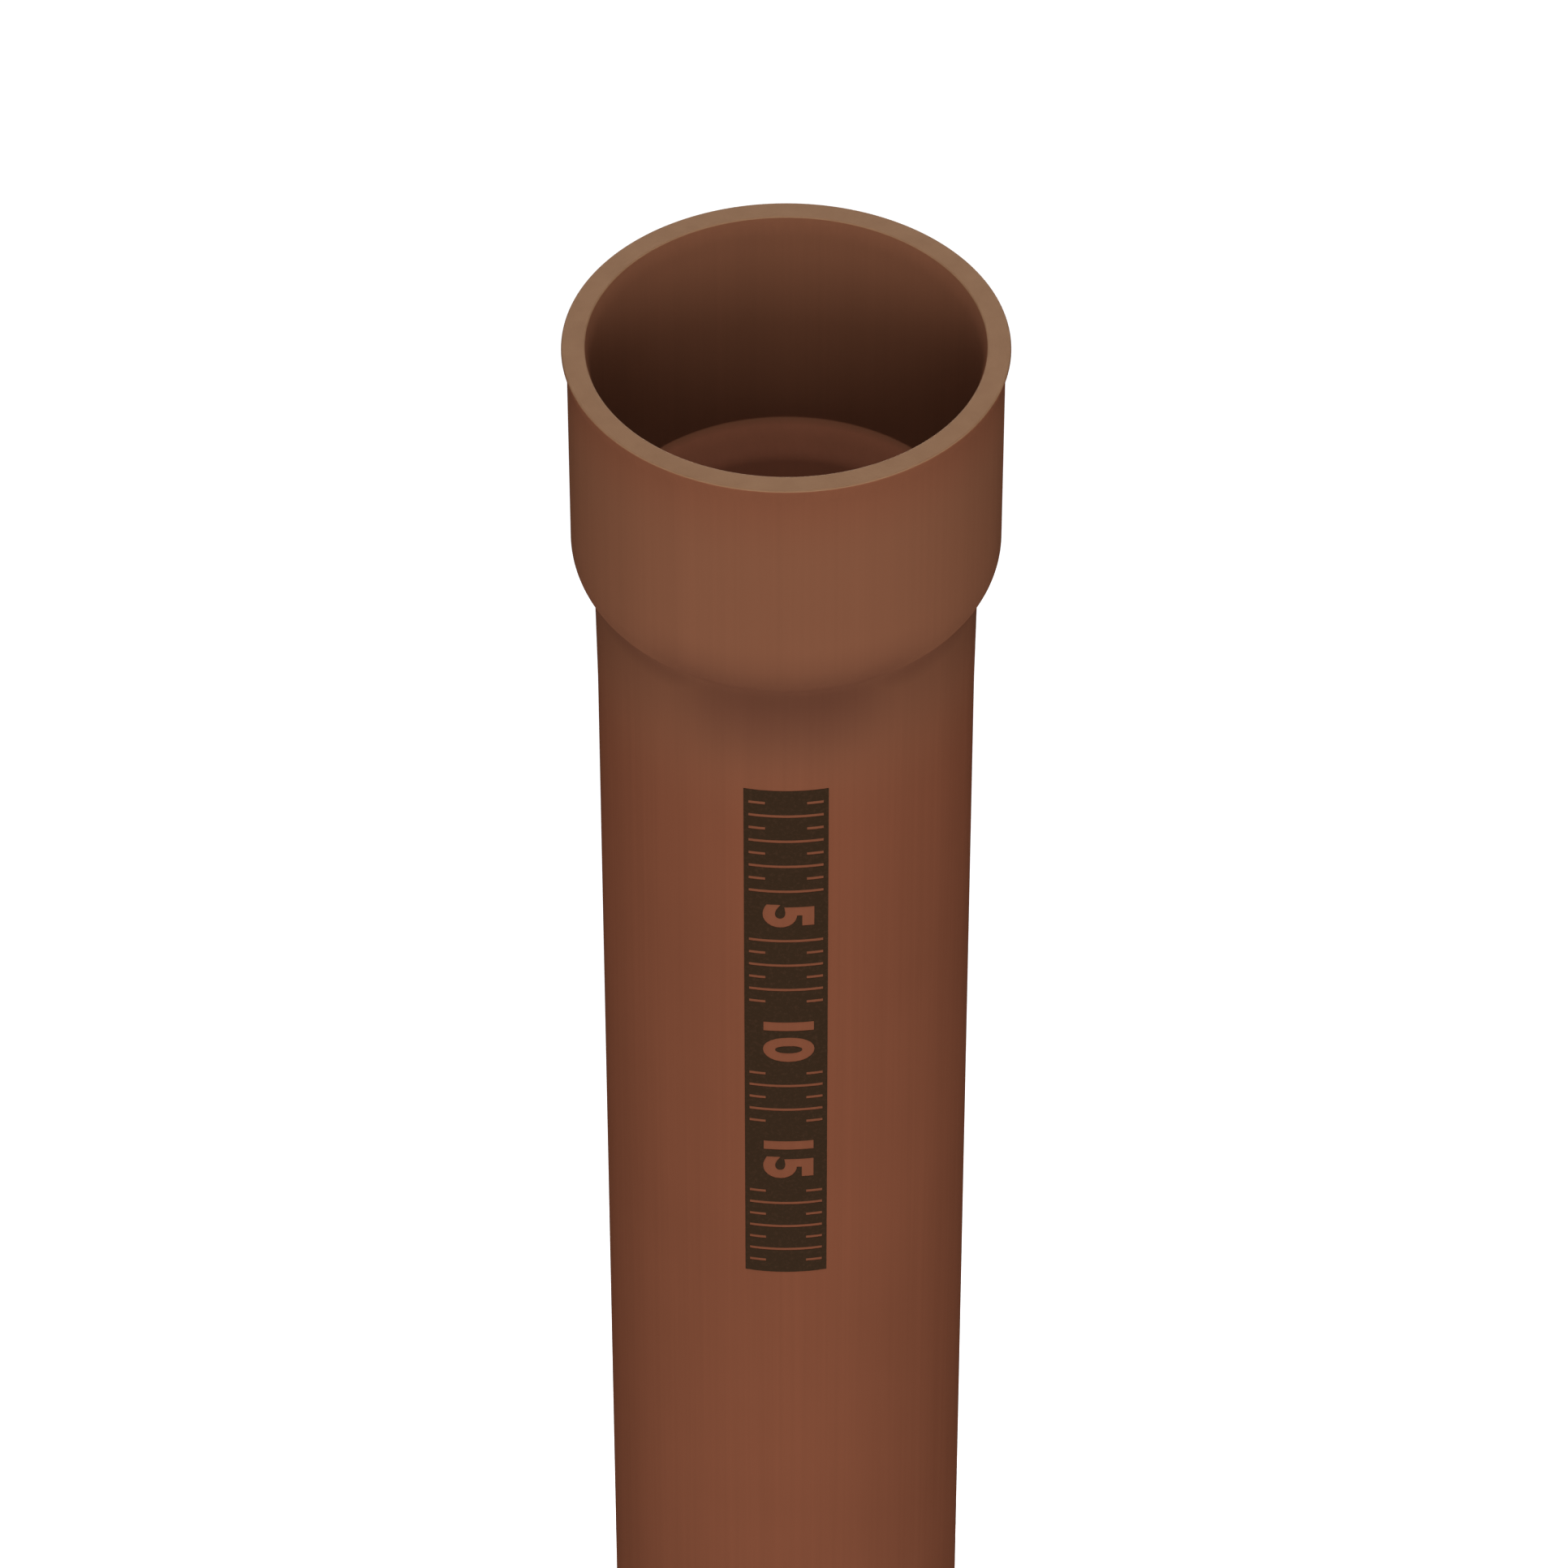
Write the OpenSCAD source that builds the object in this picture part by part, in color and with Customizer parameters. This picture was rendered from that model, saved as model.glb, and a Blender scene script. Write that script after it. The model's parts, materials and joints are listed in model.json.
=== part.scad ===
// A rigid PVC pipe with a plain socket for solvent cement formed on one end.
// The origin is the centre of the plain end's face, and +Z runs along the pipe
// to the mouth of the socket. Sizes are in millimetres.

/* [Pipe] */
// Overall length, from the plain end to the mouth of the socket
length = 3000; // [1000:10:6000]
// Outside diameter of the pipe
pipe_od = 110; // [90:1:160]
// Thickness of the pipe's wall
wall = 6.1; // [3.6:0.1:9]
// Bevel round the outside of the plain end
end_bevel = 1; // [0.5:0.1:3]

/* [Socket] */
// Depth of the socket, from its mouth to the corner at its bottom
socket_depth = 74; // [45:1:120]
// Thickness of the socket's wall, which is upset a little thicker than the pipe's
socket_wall = 6.8; // [4:0.1:10]
// Gap all round between the socket and the pipe end that is glued into it
socket_gap = 0.2; // [0.1:0.05:0.4]
// Height of the lead-in, where the lip opens out towards the mouth
lead_in_height = 6; // [3:0.5:10]
// How far the lip opens out, on the radius
lead_in_flare = 1.5; // [0.5:0.1:2]
// Radius of the mouth's inner and outer edges
lip_radius = 0.6; // [0.4:0.1:1.5]

/* [Shoulder] */
// Outside radius where the socket turns in to the shoulder
shoulder_radius = 14; // [10:0.5:20]
// Outside radius of the hollow where the shoulder meets the neck
hollow_radius = 6; // [5:0.5:12]
// Inside radius of the corner at the bottom of the socket
corner_radius = 0.7; // [0.5:0.1:3]
// Inside radius where the shoulder turns down into the pipe's bore
throat_radius = 16; // [2:0.5:20]
// How far the neck stands out from the pipe, on the radius, below the shoulder
neck_flare = 0.5; // [0.2:0.1:1.5]
// Length over which the neck narrows to the plain pipe
neck_length = 40; // [20:1:100]

/* [Hidden] */

pipe_radius = pipe_od / 2;
bore_radius = pipe_radius - wall;
socket_bore_radius = pipe_radius + socket_gap;
socket_radius = socket_bore_radius + socket_wall;
neck_radius = pipe_radius + neck_flare;
neck_bore_radius = neck_radius - wall;

// The two outside bends of the shoulder follow each other with no straight
// between them, so their radii and the step in radius set how steep it is.
slope = acos(1 - (socket_radius - neck_radius) / (shoulder_radius + hollow_radius));

// The shoulder's inside face is a cone of the same slope, the pipe's wall
// thickness in from the point where the outside bends meet.
bends_meet_radius = socket_radius - shoulder_radius * (1 - cos(slope));
cone_radius = bends_meet_radius - wall * cos(slope);
corner_z = length - socket_depth;
cone_z = corner_z - (socket_bore_radius - cone_radius) / tan(slope);
throat_z = cone_z - (cone_radius - neck_bore_radius) / tan(slope);

shoulder_top_z = cone_z + (shoulder_radius - wall) * sin(slope);
shoulder_bottom_z = shoulder_top_z - (shoulder_radius + hollow_radius) * sin(slope);
neck_bottom_z = shoulder_bottom_z - neck_length;
lead_in_z = length - lead_in_height;

CONE_LEFT = 0.2;
ARC_STEPS = 8;
ROUND_FACETS = 180;

// Points along an arc, [radius, height], from one angle to another
function arc(centre, radius, from, to) = [
    for (i = [0 : ARC_STEPS])
        let (angle = from + (to - from) * i / ARC_STEPS)
            centre + radius * [cos(angle), sin(angle)]
];

// How far a round of this radius reaches along the wall from the corner it rounds
function round_reach(radius) = radius * tan(slope / 2);

// The cone is short, and its two rounds must not meet on it, so the throat's
// round gets smaller where the other sizes leave it less room.
cone_run = (socket_bore_radius - neck_bore_radius) / sin(slope);
throat_round = min(throat_radius, (cone_run - CONE_LEFT) / tan(slope / 2) - corner_radius);

// The outside, from the plain end up to the lead-in
outside = concat(
    [
        [pipe_radius - end_bevel, 0],
        [pipe_radius, end_bevel],
        [pipe_radius, neck_bottom_z]
    ],
    arc([neck_radius + hollow_radius, shoulder_bottom_z], hollow_radius, 180, 180 - slope),
    arc([socket_radius - shoulder_radius, shoulder_top_z], shoulder_radius, -slope, 0),
    [[socket_radius, lead_in_z]]
);

// The rim, from the outside edge over the flat mouth to the inside edge
rim = concat(
    arc([socket_radius + lead_in_flare - lip_radius, length - lip_radius], lip_radius, 0, 90),
    arc([socket_bore_radius + lead_in_flare + lip_radius, length - lip_radius], lip_radius, 90, 180)
);

// The inside, from the lead-in down to the plain end
inside = concat(
    [[socket_bore_radius, lead_in_z]],
    arc([socket_bore_radius - corner_radius, corner_z + round_reach(corner_radius)],
        corner_radius, 0, -slope),
    arc([neck_bore_radius + throat_round, throat_z - round_reach(throat_round)],
        throat_round, 180 - slope, 180),
    [
        [bore_radius, neck_bottom_z],
        [bore_radius, 0]
    ]
);

module pipe() {
    color("#7a4a35")
        rotate_extrude($fn = ROUND_FACETS)
            polygon(concat(outside, rim, inside));
}

pipe();
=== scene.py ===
# A brown rigid PVC pipe standing on its plain end, with its socket at the top.
import json
import math

import bpy
import bmesh
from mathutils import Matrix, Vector


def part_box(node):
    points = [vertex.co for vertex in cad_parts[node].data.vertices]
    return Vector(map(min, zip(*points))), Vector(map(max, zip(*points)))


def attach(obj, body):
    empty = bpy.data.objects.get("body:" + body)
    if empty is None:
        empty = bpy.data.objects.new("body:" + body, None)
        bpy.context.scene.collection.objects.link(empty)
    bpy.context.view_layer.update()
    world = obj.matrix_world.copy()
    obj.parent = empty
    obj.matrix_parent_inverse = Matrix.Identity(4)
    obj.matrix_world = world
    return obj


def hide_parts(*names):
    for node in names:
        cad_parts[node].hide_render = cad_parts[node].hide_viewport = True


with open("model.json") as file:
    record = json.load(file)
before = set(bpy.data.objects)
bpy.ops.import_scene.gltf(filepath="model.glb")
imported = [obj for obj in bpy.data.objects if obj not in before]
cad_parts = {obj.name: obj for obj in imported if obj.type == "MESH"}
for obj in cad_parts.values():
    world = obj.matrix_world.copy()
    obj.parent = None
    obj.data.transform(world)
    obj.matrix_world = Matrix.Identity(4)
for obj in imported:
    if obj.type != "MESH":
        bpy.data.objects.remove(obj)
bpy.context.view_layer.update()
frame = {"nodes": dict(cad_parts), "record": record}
scene = bpy.context.scene
mounts = {mount["name"]: mount for mount in frame["record"]["mounts"]}
print("frame loaded:", sorted(frame["nodes"]))

centimetre = 0.01
mergeWithin = 0.000001
smoothBelow = math.radians(35)    # edges with a sharper bend than this stay sharp


def linear(hexColour):
    # sRGB hex to the linear colour that Blender's sockets take
    parts = [int(hexColour[i:i + 2], 16) / 255 for i in (1, 3, 5)]
    return (*[c / 12.92 if c <= 0.04045 else ((c + 0.055) / 1.055) ** 2.4 for c in parts], 1)


def addNode(tree, kind, inputs=None, **settings):
    # one node, with its settings, its input values and the links into it
    node = tree.nodes.new(kind)
    for name, value in settings.items():
        setattr(node, name, value)
    for name, value in (inputs or {}).items():
        if isinstance(value, bpy.types.NodeSocket):
            tree.links.new(value, node.inputs[name])
        else:
            node.inputs[name].default_value = value
    return node


def newMaterial(name):
    material = bpy.data.materials.new(name)
    material.use_nodes = True
    material.node_tree.nodes.clear()
    return material


def deselectAll():
    if bpy.context.object and bpy.context.object.mode == "EDIT":
        bpy.ops.object.mode_set(mode="OBJECT")
    bpy.ops.object.select_all(action="DESELECT")


def pick(piece):
    deselectAll()
    piece.select_set(True)
    bpy.context.view_layer.objects.active = piece


def applyModifier(kind, **settings):
    bpy.ops.object.modifier_add(type=kind)
    modifier = bpy.context.object.modifiers[-1]
    for name, value in settings.items():
        setattr(modifier, name, value)
    bpy.ops.object.modifier_apply(modifier=modifier.name)


def mergeAndFaceOut():
    # in edit mode: closes the seams and turns every face outwards
    bpy.ops.mesh.select_all(action="SELECT")
    bpy.ops.mesh.remove_doubles(threshold=mergeWithin)
    bpy.ops.mesh.normals_make_consistent(inside=False)


def mountSpan(name):
    # the lowest and highest point of a round mount's wall, in metres
    mount = mounts[name]
    half = mount["dims"]["length_mm"] / 2000
    return mount["pos_m"][2] - half, mount["pos_m"][2] + half


def mountRadius(name):
    return mounts[name]["dims"]["r_mm"] / 1000


# the pipe's own sizes, in metres, from the frame where it gives them
plainEnd, mouth = (corner.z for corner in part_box("pipe"))
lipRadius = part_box("pipe")[1].x
pipeRadius = mountRadius("plain_end")
boreRadius = mountRadius("pipe_bore")
socketBore = mountRadius("socket")
wall = pipeRadius - boreRadius
lipFlare = 0.0015            # how far the lip opens out
socketRadius = lipRadius - lipFlare
socketFoot, leadIn = mountSpan("socket")
neckFoot = mountSpan("pipe_bore")[1]
neckLength = 0.04
neckTop = neckFoot + neckLength


cameraSet = {
    "lens": 186.3,        # mm, a long lens
    "elevation": 43.06,   # degrees above the horizon
    "distance": 2.403,
    "aimBelowMouth": 0.1696,
    "aside": -0.0006,     # the pipe stands this much to the right of the middle
    "clipEnd": 100,
}


def makeCamera(s):
    data = bpy.data.cameras.new("camera")
    data.lens = s["lens"]
    data.clip_end = s["clipEnd"]
    camera = bpy.data.objects.new("camera", data)
    scene.collection.objects.link(camera)
    tilt = math.radians(s["elevation"])
    camera.location = (
        s["aside"],
        -s["distance"] * math.cos(tilt),
        mouth - s["aimBelowMouth"] + s["distance"] * math.sin(tilt),
    )
    camera.rotation_euler = (math.pi / 2 - tilt, 0, 0)
    scene.camera = camera


makeCamera(cameraSet)
print("camera set")


pvcLook = {
    "pipe": "#7d4b36",
    "socket": "#80533d",
    "tints": {
        "stretched": "#8b5741",    # painted light on the shoulder's inner side
        "throat": "#a5684f",       # painted light on the bend from the shoulder into the bore
        "scorched": "#684131",     # painted shadow under the bell: the band and the line
    },
    # where each tint is gone and where it is full, in metres above the neck's top
    "edges": {
        "stretched": [(-0.030, -0.010)],
        "throat": [(-0.022, -0.008), (0.007, -0.001)],
        "band": [(-0.037, 0.0), (0.026, 0.0)],
        "line": [(-0.012, 0.002), (0.010, 0.002)],
    },
    "bandAtBack": 0.3,             # the band's share away from the front
    "bandFront": (0.012, -0.001),  # how far behind the pipe's front it fades, and where it is full
    "lineShare": 0.7,
    "formedBelowNeck": 0.02,       # the socket's look begins this far below the neck
    "formedBelowSocket": 0.004,    # and is full this far below the socket's straight part
    "ownColourDepth": 0.03,        # painted shade under the rim: this far below the mouth, on the outer side
    "ownColourShare": 0.6,
    "outerSide": 0.004,            # past the pipe's radius by this much, it is the socket's outer side
    "innerSide": 0.0015,           # and within it by this much, the wall of the bore
    "lineSpacing": 0.0015,
    "streakSpacing": 0.012,
    "cloudSize": 0.06,
    "drawnOut": 0.008,             # lines and streaks are this much finer across the pipe than along it
    "darkest": (0.93, 0.955),      # on the pipe and on the socket
    "lightest": (1.07, 1.045),
    "relief": (0.35, 0.12),
    "reliefDepth": 0.00006,
    "roughness": (0.55, 0.62),
}


def extrudedPvc(s):
    # Rigid PVC (PVC-U), coloured right through and drawn from a die: an even, dull brown skin
    # with faint lines along the pipe. The heated and stretched socket is a little paler and duller.
    # Painted shade darkens the socket just under the rim and the neck under the bell, and painted light
    # brightens the shoulder's inner side.
    material = newMaterial("extrudedPvc")
    tree = material.node_tree
    place = addNode(tree, "ShaderNodeTexCoord").outputs["Object"]
    axes = addNode(tree, "ShaderNodeSeparateXYZ", {"Vector": place})
    height = axes.outputs["Z"]
    flat = addNode(tree, "ShaderNodeMapping", {"Vector": place, "Scale": (1, 1, 0)})
    radius = addNode(tree, "ShaderNodeVectorMath", {0: flat.outputs[0]},
                     operation="LENGTH").outputs["Value"]

    # die lines: about 1.5 mm apart and 0.2 m long, drawn a little wider than the real ones to show
    along = addNode(tree, "ShaderNodeMapping", {"Vector": place, "Scale": (1, 1, s["drawnOut"])})
    dieLines = addNode(tree, "ShaderNodeTexNoise",
                       {"Vector": along.outputs[0], "Scale": 1 / s["lineSpacing"], "Detail": 2.0,
                        "Roughness": 0.6})
    # broad streaks of pigment, about 12 mm apart
    pigment = addNode(tree, "ShaderNodeTexNoise",
                      {"Vector": along.outputs[0], "Scale": 1 / s["streakSpacing"], "Detail": 1.0})
    # soft clouding, about 60 mm across
    clouds = addNode(tree, "ShaderNodeTexNoise",
                     {"Vector": place, "Scale": 1 / s["cloudSize"], "Detail": 2.0})

    # 0 on the plain pipe and 1 on the formed socket
    formed = addNode(tree, "ShaderNodeMapRange",
                     {"Value": height, "From Min": neckFoot - s["formedBelowNeck"],
                      "From Max": socketFoot - s["formedBelowSocket"]},
                     interpolation_type="SMOOTHSTEP").outputs["Result"]
    # painted shade just under the rim: near the mouth, on the outer side, the socket is darkened most
    # of the way back to the pipe's colour
    underRimShade = addNode(tree, "ShaderNodeMapRange",
                        {"Value": height, "From Min": mouth - s["ownColourDepth"], "From Max": mouth,
                         "To Max": s["ownColourShare"]},
                        interpolation_type="SMOOTHSTEP").outputs["Result"]
    outerSide = addNode(tree, "ShaderNodeMath", {0: radius, 1: pipeRadius + s["outerSide"]},
                        operation="GREATER_THAN").outputs[0]
    underRimShade = addNode(tree, "ShaderNodeMath", {0: underRimShade, 1: outerSide},
                        operation="MULTIPLY").outputs[0]
    socketToneLessRimShade = addNode(tree, "ShaderNodeMath", {0: formed, 1: underRimShade}, operation="SUBTRACT",
                    use_clamp=True).outputs[0]
    skin = addNode(tree, "ShaderNodeMix",
                   {"Factor": socketToneLessRimShade, 6: linear(s["pipe"]), 7: linear(s["socket"])},
                   data_type="RGBA").outputs[2]

    # how much of each tint there is at each height
    share = {}
    for name, edges in s["edges"].items():
        for gone, full in edges:
            edge = addNode(tree, "ShaderNodeMapRange",
                           {"Value": height, "From Min": neckTop + gone, "From Max": neckTop + full},
                           interpolation_type="SMOOTHSTEP").outputs["Result"]
            if name in share:
                edge = addNode(tree, "ShaderNodeMath", {0: share[name], 1: edge},
                               operation="MULTIPLY").outputs[0]
            share[name] = edge
    # painted shadow under the bell: a dark band, soft down the neck and strongest at the front,
    # and a thinner dark line along the foot of the shoulder all the way round
    behind, front = s["bandFront"]
    frontmost = addNode(tree, "ShaderNodeMapRange",
                        {"Value": axes.outputs["Y"], "From Min": behind - pipeRadius,
                         "From Max": front - pipeRadius, "To Min": s["bandAtBack"]},
                        interpolation_type="SMOOTHSTEP").outputs["Result"]
    band = addNode(tree, "ShaderNodeMath", {0: share["band"], 1: frontmost}, operation="MULTIPLY")
    line = addNode(tree, "ShaderNodeMath", {0: share["line"], 1: s["lineShare"]}, operation="MULTIPLY")
    share["scorched"] = addNode(tree, "ShaderNodeMath", {0: band.outputs[0], 1: line.outputs[0]},
                                operation="MAXIMUM").outputs[0]

    # 1 on the bore's wall, 0 on the outer wall and in the straight part of the socket
    inside = addNode(tree, "ShaderNodeMapRange",
                     {"Value": radius, "From Min": pipeRadius - s["innerSide"], "From Max": pipeRadius,
                      "To Min": 1, "To Max": 0}).outputs["Result"]
    outside = addNode(tree, "ShaderNodeMath", {0: 1, 1: inside}, operation="SUBTRACT").outputs[0]
    # painted light on the shoulder's inner side, most of all at the throat, and painted shadow on the
    # outer side under the bell
    for name, side in (("stretched", inside), ("throat", inside), ("scorched", outside)):
        amount = addNode(tree, "ShaderNodeMath", {0: share[name], 1: side}, operation="MULTIPLY")
        skin = addNode(tree, "ShaderNodeMix",
                       {"Factor": amount.outputs[0], 6: skin, 7: linear(s["tints"][name])},
                       data_type="RGBA").outputs[2]

    # the three patterns together change the brightness by a few per cent, and less on the socket
    lift = addNode(tree, "ShaderNodeMath",
                   {0: dieLines.outputs["Fac"], 1: pigment.outputs["Fac"]}, operation="ADD").outputs[0]
    lift = addNode(tree, "ShaderNodeMath", {0: lift, 1: clouds.outputs["Fac"]},
                   operation="ADD").outputs[0]
    darkest, lightest, depth, dullness = [
        addNode(tree, "ShaderNodeMapRange",
                {"Value": formed, "To Min": s[name][0], "To Max": s[name][1]}).outputs["Result"]
        for name in ("darkest", "lightest", "relief", "roughness")]
    lift = addNode(tree, "ShaderNodeMapRange",
                   {"Value": lift, "From Min": 1.0, "From Max": 2.0, "To Min": darkest,
                    "To Max": lightest}).outputs["Result"]
    skin = addNode(tree, "ShaderNodeHueSaturation", {"Color": skin, "Value": lift}).outputs["Color"]

    # lines 0.02 mm deep on the pipe, nearly smoothed away where the wall was stretched
    relief = addNode(tree, "ShaderNodeBump",
                     {"Height": dieLines.outputs["Fac"], "Strength": depth,
                      "Distance": s["reliefDepth"]})
    shader = addNode(tree, "ShaderNodeBsdfPrincipled",
                     {"Base Color": skin, "Roughness": dullness, "Diffuse Roughness": 0.3, "IOR": 1.53,
                      "Specular IOR Level": 0.0, "Normal": relief.outputs[0]})
    addNode(tree, "ShaderNodeOutputMaterial", {"Surface": shader.outputs[0]})
    return material


sawnLook = {
    "dark": "#846146",
    "light": "#967255",
    "blotchSize": 0.009,
    "markSpacing": 0.0006,
    "markDepth": 0.00005,
}


def sawnPvc(s):
    # The same PVC where the saw cut it: paler, dry and very dull, with fine turning marks
    # and faint blotches.
    material = newMaterial("sawnPvc")
    tree = material.node_tree
    place = addNode(tree, "ShaderNodeTexCoord").outputs["Object"]
    blotches = addNode(tree, "ShaderNodeTexNoise",
                       {"Vector": place, "Scale": 1 / s["blotchSize"], "Detail": 3.0,
                        "Roughness": 0.6})
    flat = addNode(tree, "ShaderNodeMapping", {"Vector": place, "Scale": (1, 1, 0)})
    # turning marks 0.6 mm apart, rings round the pipe's axis; at scale 1 the rings are 2 pi / 20 apart
    marks = addNode(tree, "ShaderNodeTexWave",
                    {"Vector": flat.outputs[0], "Scale": 2 * math.pi / (20 * s["markSpacing"]),
                     "Distortion": 3.0, "Detail": 2.0, "Detail Scale": 0.3},
                    wave_type="RINGS", rings_direction="Z")
    shade = addNode(tree, "ShaderNodeMix",
                    {"Factor": blotches.outputs["Fac"], 6: linear(s["dark"]), 7: linear(s["light"])},
                    data_type="RGBA").outputs[2]
    relief = addNode(tree, "ShaderNodeBump",
                     {"Height": marks.outputs["Fac"], "Strength": 0.25, "Distance": s["markDepth"]})
    shader = addNode(tree, "ShaderNodeBsdfPrincipled",
                     {"Base Color": shade, "Roughness": 0.8, "IOR": 1.53, "Specular IOR Level": 0.15,
                      "Normal": relief.outputs[0]})
    addNode(tree, "ShaderNodeOutputMaterial", {"Surface": shader.outputs[0]})
    return material


inkLook = {
    "full": "#2d1e10",
    "thin": "#3c281a",
    "spotSize": 0.0012,
}


def markingInk(s):
    # Dark brown solvent ink rolled on to the pipe: matt, with small thin spots where the wheel
    # pressed less.
    material = newMaterial("markingInk")
    tree = material.node_tree
    place = addNode(tree, "ShaderNodeTexCoord").outputs["Object"]
    spots = addNode(tree, "ShaderNodeTexNoise",
                    {"Vector": place, "Scale": 1 / s["spotSize"], "Detail": 3.0, "Roughness": 0.7})
    thin = addNode(tree, "ShaderNodeMapRange",
                   {"Value": spots.outputs["Fac"], "From Min": 0.5, "From Max": 0.8}).outputs["Result"]
    shade = addNode(tree, "ShaderNodeMix",
                    {"Factor": thin, 6: linear(s["full"]), 7: linear(s["thin"])},
                    data_type="RGBA").outputs[2]
    shader = addNode(tree, "ShaderNodeBsdfPrincipled",
                     {"Base Color": shade, "Roughness": 0.7, "IOR": 1.5, "Specular IOR Level": 0.05})
    addNode(tree, "ShaderNodeOutputMaterial", {"Surface": shader.outputs[0]})
    return material


pipeShape = {
    "sides": 256,
    "endBevel": 0.001,
    "lipRound": 0.0006,
    "shoulderRadius": 0.014,   # outside, where the socket turns in
    "hollowRadius": 0.006,     # outside, where the shoulder meets the neck
    "cornerRadius": 0.0007,    # inside, at the bottom of the socket
    "throatRadius": 0.016,     # inside, where the shoulder turns down into the bore
    "neckFlare": 0.0005,
    "arcSteps": 10,
    "sawnUpright": 0.6,        # an end's face is sawn if its normal stands up or down more than this
}


def arc(centre, radius, start, end, steps):
    # points [radius, height] round an arc
    turns = [start + (end - start) * i / steps for i in range(steps + 1)]
    return [(centre[0] + radius * math.cos(a), centre[1] + radius * math.sin(a)) for a in turns]


def pipeOutline(s):
    # the wall's section, from the plain end's bevel up the outside, over the rim and down the inside
    steps = s["arcSteps"]
    shoulder, hollow = s["shoulderRadius"], s["hollowRadius"]
    corner, throat, lip = s["cornerRadius"], s["throatRadius"], s["lipRound"]
    neckRadius = pipeRadius + s["neckFlare"]
    neckBore = neckRadius - wall
    slope = math.acos(1 - (socketRadius - neckRadius) / (shoulder + hollow))
    reach = math.tan(slope / 2)
    cornerZ = socketFoot - corner * reach
    coneRadius = socketRadius - shoulder * (1 - math.cos(slope)) - wall * math.cos(slope)
    coneZ = cornerZ - (socketBore - coneRadius) / math.tan(slope)
    throatZ = coneZ - (coneRadius - neckBore) / math.tan(slope)
    shoulderTop = coneZ + (shoulder - wall) * math.sin(slope)
    shoulderFoot = shoulderTop - (shoulder + hollow) * math.sin(slope)
    quarter = math.pi / 2
    return [
        (pipeRadius - s["endBevel"], plainEnd),
        (pipeRadius, plainEnd + s["endBevel"]),
        (pipeRadius, neckFoot),
        *arc((neckRadius + hollow, shoulderFoot), hollow, math.pi, math.pi - slope, steps),
        *arc((socketRadius - shoulder, shoulderTop), shoulder, -slope, 0, steps)[1:],
        (socketRadius, leadIn),
        *arc((lipRadius - lip, mouth - lip), lip, 0, quarter, steps),
        *arc((socketBore + lipFlare + lip, mouth - lip), lip, quarter, 2 * quarter, steps),
        (socketBore, leadIn),
        *arc((socketBore - corner, socketFoot), corner, 0, -slope, steps),
        *arc((neckBore + throat, throatZ - throat * reach), throat, math.pi - slope, math.pi, steps),
        (boreRadius, neckFoot),
    ]


def makePipe(s, skin, sawn):
    # one ring of points is drawn out and scaled along the wall's section, then the tube is closed
    deselectAll()
    bpy.ops.mesh.primitive_circle_add(vertices=s["sides"], radius=boreRadius,
                                      location=(0, 0, plainEnd))
    pipe = bpy.context.object
    pipe.name = "pipeWall"
    bpy.ops.object.mode_set(mode="EDIT")
    bpy.ops.mesh.select_all(action="SELECT")
    radius, height = boreRadius, plainEnd
    for nextRadius, nextHeight in pipeOutline(s):
        bpy.ops.mesh.extrude_edges_move(TRANSFORM_OT_translate={"value": (0, 0, nextHeight - height)})
        scale = nextRadius / radius
        bpy.ops.transform.resize(value=(scale, scale, 1), center_override=(0, 0, nextHeight))
        radius, height = nextRadius, nextHeight
    bpy.ops.mesh.select_all(action="DESELECT")
    bpy.ops.mesh.select_non_manifold()
    bpy.ops.mesh.bridge_edge_loops()
    mergeAndFaceOut()

    # the two sawn ends
    pipe.data.materials.append(skin)
    pipe.data.materials.append(sawn)
    mesh = bmesh.from_edit_mesh(pipe.data)
    for face in mesh.faces:
        middle = face.calc_center_median().z
        atAnEnd = middle > mouth - s["lipRound"] or middle < plainEnd + mergeWithin
        face.select = atAnEnd and abs(face.normal.z) > s["sawnUpright"]
    bmesh.update_edit_mesh(pipe.data)
    pipe.active_material_index = 1
    bpy.ops.object.material_slot_assign()
    bpy.ops.object.mode_set(mode="OBJECT")
    bpy.ops.object.shade_smooth_by_angle(angle=smoothBelow)
    # the long walls stay evenly shaded up to their edges
    applyModifier("WEIGHTED_NORMAL", keep_sharp=True)
    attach(pipe, "root")
    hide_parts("pipe")
    return pipe


pipe = makePipe(pipeShape, extrudedPvc(pvcLook), sawnPvc(sawnLook))
print("pipe made:", len(pipe.data.polygons), "faces")


scaleShape = {
    "belowMouth": 0.121,     # from the mouth down to the strip's top end
    "length": 0.200,
    "width": 0.0245,
    "margin": 0.0014,        # ink left at the strip's edges
    "lineWidth": 0.0011,
    "halfLine": 0.0048,      # marks at the half centimetres
    "numberStep": 5,         # centimetres from one number to the next
    "digitHeight": 0.0140,
    "digitStep": 0.0122,     # from one digit to the next
    "digitWeight": 0.0009,   # how much the digits are thickened
    "digitShare": 0.73,      # of the built-in typeface's size
    "inFront": 0.01,         # the strip is cut out flat, this far in front of the pipe
    "blankDepth": 0.004,     # the strip's thickness while it is cut, and half the digits'
    "cutDepth": 0.008,       # the marks', so that they go right through
    "filmThickness": 0.00012,
    "filmLift": 0.00016,     # real ink is thinner; this keeps it clear of the pipe's skin
    "bendStep": 0.001,       # the width of one flat face of the bent strip
    "frontFacing": 0.9,      # only faces whose normal points forward more than this are kept
    "curveSteps": 6,
}


def standingBlock(s, width, depth, height, x, z):
    # a block in front of the pipe, where the strip and its marks are cut out before they bend
    deselectAll()
    bpy.ops.mesh.primitive_cube_add(size=1, location=(x, -pipeRadius - s["inFront"], z))
    bpy.context.object.scale = (width, depth, height)
    bpy.ops.object.transform_apply(location=True, rotation=True, scale=True)
    return bpy.context.object


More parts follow.
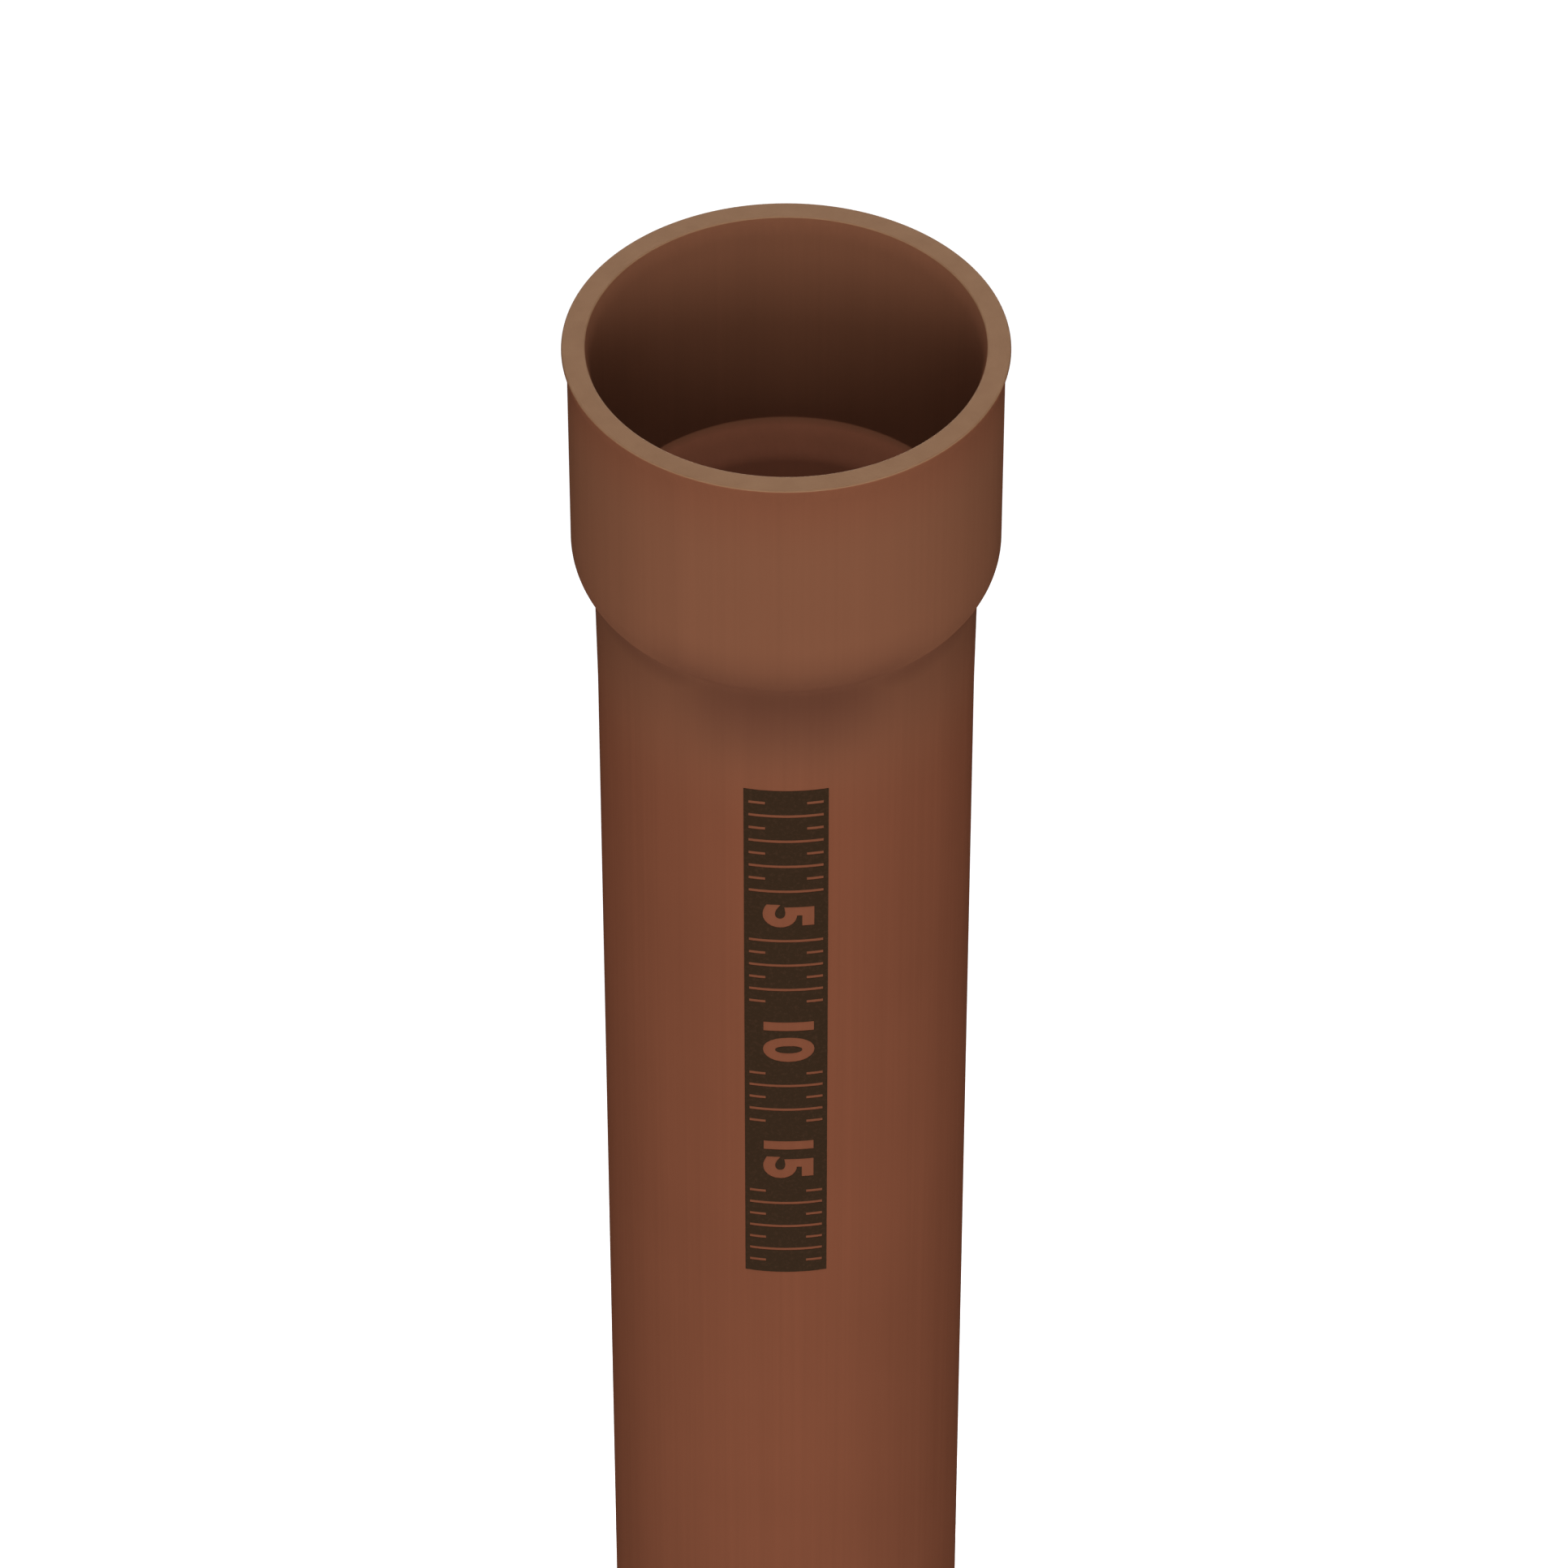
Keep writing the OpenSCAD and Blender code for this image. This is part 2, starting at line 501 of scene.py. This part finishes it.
def standingNumber(s, number, z):
    # a plain number that reads down the pipe
    deselectAll()
    bpy.ops.object.text_add(location=(0, -pipeRadius - s["inFront"], z),
                            rotation=(math.pi / 2, math.pi / 2, 0))
    text = bpy.context.object
    text.data.body = str(number)
    text.data.align_x = "CENTER"
    text.data.align_y = "CENTER"
    text.data.size = s["digitHeight"] / s["digitShare"]
    text.data.offset = s["digitWeight"]
    text.data.extrude = s["blankDepth"]
    text.data.resolution_u = s["curveSteps"]
    bpy.ops.object.convert(target="MESH")
    bpy.ops.object.transform_apply(location=True, rotation=True, scale=True)
    bpy.ops.object.mode_set(mode="EDIT")
    mergeAndFaceOut()
    bpy.ops.object.mode_set(mode="OBJECT")
    return bpy.context.object


def scaleMarks(s, top):
    # what is left clear in the strip: centimetre lines, half-centimetre marks and numbers
    clearWidth = s["width"] - 2 * s["margin"]
    halfWidth = (clearWidth - s["halfLine"]) / 2
    marks = []
    numbers = range(s["numberStep"], round(s["length"] / centimetre), s["numberStep"])
    for number in numbers:
        marks.append(standingNumber(s, number, top - number * centimetre))
    halfStep = centimetre / 2
    for i in range(1, round(s["length"] / halfStep)):
        down = i * halfStep
        room = min(abs(down - n * centimetre) - len(str(n)) * s["digitStep"] / 2 for n in numbers)
        if room < 2 * s["lineWidth"]:
            continue          # no mark runs into a number
        if i % 2 == 0:
            places = [(clearWidth, 0)]
        else:
            places = [(s["halfLine"], -halfWidth), (s["halfLine"], halfWidth)]
        for width, x in places:
            marks.append(standingBlock(s, width, s["cutDepth"], s["lineWidth"], x, top - down))
    return marks


def makeScale(s, ink, pipe):
    # a dark strip with lines and numbers left clear, so that the pipe shows through them
    top = mouth - s["belowMouth"]
    marks = scaleMarks(s, top)
    deselectAll()
    for mark in marks:
        mark.select_set(True)
    bpy.context.view_layer.objects.active = marks[0]
    bpy.ops.object.join()
    cutter = bpy.context.object

    film = standingBlock(s, s["width"], s["blankDepth"], s["length"], 0, top - s["length"] / 2)
    film.name = "printedScale"
    applyModifier("BOOLEAN", operation="DIFFERENCE", solver="EXACT", object=cutter)
    pick(cutter)
    bpy.ops.object.delete()

    # only the front sheet stays, cut every millimetre so that it can bend
    pick(film)
    bpy.ops.object.mode_set(mode="EDIT")
    mesh = bmesh.from_edit_mesh(film.data)
    for face in mesh.faces:
        face.select = face.normal.y > -s["frontFacing"]
    bmesh.update_edit_mesh(film.data)
    bpy.ops.mesh.delete(type="FACE")
    cuts = round(s["width"] / s["bendStep"])
    for i in range(1, cuts):
        bpy.ops.mesh.select_all(action="SELECT")
        bpy.ops.mesh.bisect(plane_co=(-s["width"] / 2 + i * s["width"] / cuts, 0, 0),
                            plane_no=(1, 0, 0))
    bpy.ops.mesh.select_all(action="SELECT")
    bpy.ops.mesh.remove_doubles(threshold=mergeWithin)
    bpy.ops.object.mode_set(mode="OBJECT")
    applyModifier("SHRINKWRAP", target=pipe, wrap_method="PROJECT", use_project_y=True,
                  use_positive_direction=True, use_negative_direction=False,
                  wrap_mode="ABOVE_SURFACE", offset=s["filmLift"])
    applyModifier("SOLIDIFY", thickness=s["filmThickness"], offset=-1)
    bpy.ops.object.mode_set(mode="EDIT")
    bpy.ops.mesh.select_all(action="SELECT")
    bpy.ops.mesh.normals_make_consistent(inside=False)
    bpy.ops.object.mode_set(mode="OBJECT")
    bpy.ops.object.shade_smooth_by_angle(angle=smoothBelow)
    film.data.materials.clear()
    film.data.materials.append(ink)
    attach(film, "root")
    return film


film = makeScale(scaleShape, markingInk(inkLook), pipe)
print("printed scale made:", len(film.data.polygons), "faces")


studio = {
    "floorSize": 60,
    "floorWhite": 0.8,
    "glowNear": 0.25,
    "fadeStart": 0.4,        # metres from the pipe
    "fadeEnd": 2.0,
    "worldLight": 0.02,
    # azimuth from the front and elevation in degrees, the height of the lamp's aim, its distance from
    # there, its width and its height in metres, and watts; one out of the middle stands on both sides
    "lamps": {
        "front": (0, 5, mouth, 3.0, 1.5, 1.5, 33),
        "frontHigh": (0, 20, mouth, 3.0, 1.5, 1.5, 33),
        "lowSide": (35, -12, mouth, 3.0, 1.5, 1.5, 3),
        "frontStrip": (0, 0, 1.1, 2.5, 0.6, 1.8, 22),
        "top": (0, 80, mouth, 3.0, 1.5, 1.5, 55),
        "back": (180, 8, mouth, 3.0, 0.5, 0.5, 60),
        "backStrip": (150, 0, 1.3, 2.5, 0.6, 2.6, 40),
    },
}


def whiteToTheEye(tree):
    # 1 for rays from the camera, in reflections and through clear things, and 0 for the light itself
    path = addNode(tree, "ShaderNodeLightPath")
    seen = addNode(tree, "ShaderNodeMath",
                   {0: path.outputs["Is Camera Ray"], 1: path.outputs["Is Glossy Ray"]},
                   operation="MAXIMUM")
    return addNode(tree, "ShaderNodeMath",
                   {0: seen.outputs[0], 1: path.outputs["Is Transmission Ray"]},
                   operation="MAXIMUM").outputs[0]


def paleFloor(s):
    # matt white studio floor: lit and shadowed near the pipe's foot, and fading to plain white
    # away from it
    material = newMaterial("paleFloor")
    tree = material.node_tree
    place = addNode(tree, "ShaderNodeTexCoord").outputs["Object"]
    away = addNode(tree, "ShaderNodeVectorMath", {0: place}, operation="LENGTH").outputs["Value"]
    glow = addNode(tree, "ShaderNodeMapRange",
                   {"Value": away, "From Min": s["fadeStart"], "From Max": s["fadeEnd"],
                    "To Min": s["glowNear"], "To Max": 1.0},
                   interpolation_type="SMOOTHSTEP").outputs["Result"]
    glow = addNode(tree, "ShaderNodeMath", {0: glow, 1: whiteToTheEye(tree)},
                   operation="MULTIPLY").outputs[0]
    paint = addNode(tree, "ShaderNodeBsdfDiffuse", {"Color": (s["floorWhite"],) * 3 + (1,)})
    white = addNode(tree, "ShaderNodeEmission", {"Strength": glow})
    both = addNode(tree, "ShaderNodeAddShader", {0: paint.outputs[0], 1: white.outputs[0]})
    addNode(tree, "ShaderNodeOutputMaterial", {"Surface": both.outputs[0]})
    return material


def makeFloor(s):
    deselectAll()
    bpy.ops.mesh.primitive_plane_add(size=s["floorSize"], location=(0, 0, plainEnd))
    floor = bpy.context.object
    floor.name = "floor"
    floor.data.materials.append(paleFloor(s))


def makeWorld(s):
    world = bpy.data.worlds.new("studio")
    scene.world = world
    world.use_nodes = True
    tree = world.node_tree
    tree.nodes.clear()
    strength = addNode(tree, "ShaderNodeMapRange",
                       {"Value": whiteToTheEye(tree), "To Min": s["worldLight"], "To Max": 1.0})
    light = addNode(tree, "ShaderNodeBackground",
                    {"Color": (1, 1, 1, 1), "Strength": strength.outputs[0]})
    addNode(tree, "ShaderNodeOutputWorld", {"Surface": light.outputs[0]})


def makeLamp(name, azimuth, elevation, aim, distance, width, height, watts):
    data = bpy.data.lights.new(name, "AREA")
    data.shape = "RECTANGLE"
    data.size = width
    data.size_y = height
    data.energy = watts
    lamp = bpy.data.objects.new(name, data)
    turn, tilt = math.radians(azimuth), math.radians(elevation)
    outward = Vector((math.sin(turn) * math.cos(tilt), -math.cos(turn) * math.cos(tilt),
                      math.sin(tilt)))
    lamp.location = Vector((0, 0, aim)) + outward * distance
    lamp.rotation_euler = (-outward).to_track_quat("-Z", "Y").to_euler()
    lamp.visible_camera = False
    scene.collection.objects.link(lamp)


def makeLights(s):
    for name, (azimuth, *rest) in s["lamps"].items():
        makeLamp(name, azimuth, *rest)
        if 0 < azimuth < 180:
            makeLamp(name + "Left", -azimuth, *rest)


makeFloor(studio)
makeWorld(studio)
makeLights(studio)
scene.view_settings.view_transform = "Standard"
print("stage and lights set")
